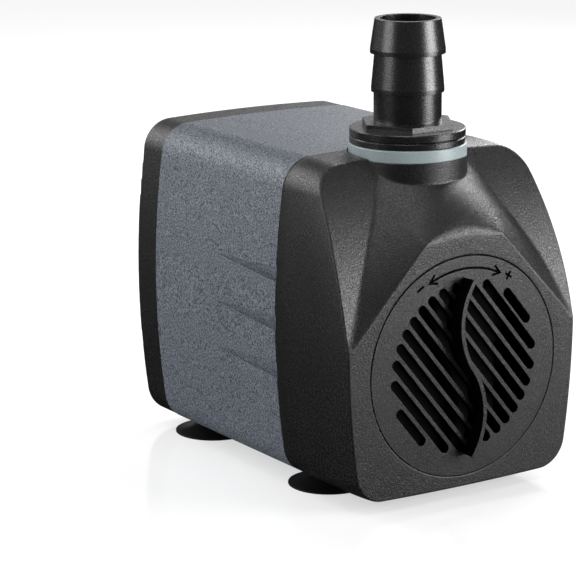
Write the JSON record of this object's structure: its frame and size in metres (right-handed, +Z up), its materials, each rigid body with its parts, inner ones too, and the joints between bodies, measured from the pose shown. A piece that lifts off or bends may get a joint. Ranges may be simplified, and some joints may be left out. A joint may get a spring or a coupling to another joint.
{
  "type": "submersible fountain pump",
  "caption": "Submersible water pump with a barrel-section body, sculpted intake cover with turning flow dial, upright hose barb on top, suction cup feet and a canned magnet rotor.",
  "frame": {"origin": "on the floor, under the middle of the pump's own box", "axes": "+Z up along the outlet, -Y out of the intake dial, +X to the right seen from the dial"},
  "size_m": [0.1074, 0.1706, 0.1806],
  "materials": {
    "black_body": "fine leather grain moulding, satin",
    "black_dial": "fine leather grain moulding, satin",
    "grey_housing": "textured blue-grey moulding",
    "black_fitting": "grained moulding, slightly glossier",
    "inner_black": "plain moulding",
    "inner_white": "plain moulding",
    "impeller_blue": "plain moulding",
    "seal_silicone": "milky translucent silicone",
    "black_rubber": "soft black rubber",
    "steel": "stainless, plain",
    "silicon_steel": "stacked laminations",
    "copper_wire": "enamelled copper winding",
    "ferrite": "sintered ferrite",
    "white_ceramic": "ground alumina",
    "resin": "cast potting resin",
    "lead_brown": "pvc insulation",
    "lead_blue": "pvc insulation"
  },
  "bodies": {
    "pump_body": {"front_cover": "black_body", "intake_plate": "inner_black", "volute_cover": "inner_black", "volute_chamber": "inner_black", "chamber_seal": "black_rubber", "volute_screws": "steel", "chamber_screws": "steel", "rotor_shaft": "white_ceramic", "front_bushing": "black_rubber", "rear_bushing": "black_rubber", "front_thrust_washer": "white_ceramic", "rear_thrust_washer": "white_ceramic", "rotor_can": "inner_black", "stator_core": "silicon_steel", "bobbin_left": "inner_white", "bobbin_right": "inner_white", "coil_left": "copper_wire", "coil_right": "copper_wire", "lead_live": "lead_brown", "lead_neutral": "lead_blue", "thermal_fuse": "inner_white", "potting_resin": "resin", "motor_housing": "grey_housing", "rear_cover": "black_body", "rear_cover_screws": "steel", "cable_gland": "black_fitting", "gland_nut": "black_fitting", "gland_lock_nut": "black_fitting", "gland_grommet": "black_rubber", "outlet_seal": "seal_silicone", "outlet_washer": "black_fitting", "outlet_ring_nut": "black_fitting", "hose_adapter": "black_fitting", "suction_cup_front_left": "black_rubber", "suction_cup_front_right": "black_rubber", "suction_cup_rear_left": "black_rubber", "suction_cup_rear_right": "black_rubber"},
    "dial": {"flow_dial": "black_dial", "dial_retainer": "inner_black", "dial_shutter": "inner_black"},
    "rotor": {"impeller": "impeller_blue", "rotor_sleeve": "impeller_blue", "rotor_magnet": "ferrite"}
  },
  "joints": [
    {"name": "dial_turn", "type": "hinge", "parent": "pump_body", "child": "dial", "pos_m": [0, -0.07885, 0.0517], "axis": [0, 1, 0], "range_deg": [-30, 30]},
    {"name": "rotor_spin", "type": "hinge", "parent": "pump_body", "child": "rotor", "pos_m": [0, -0.01885, 0.0517], "axis": [0, 1, 0], "continuous": true}
  ]
}
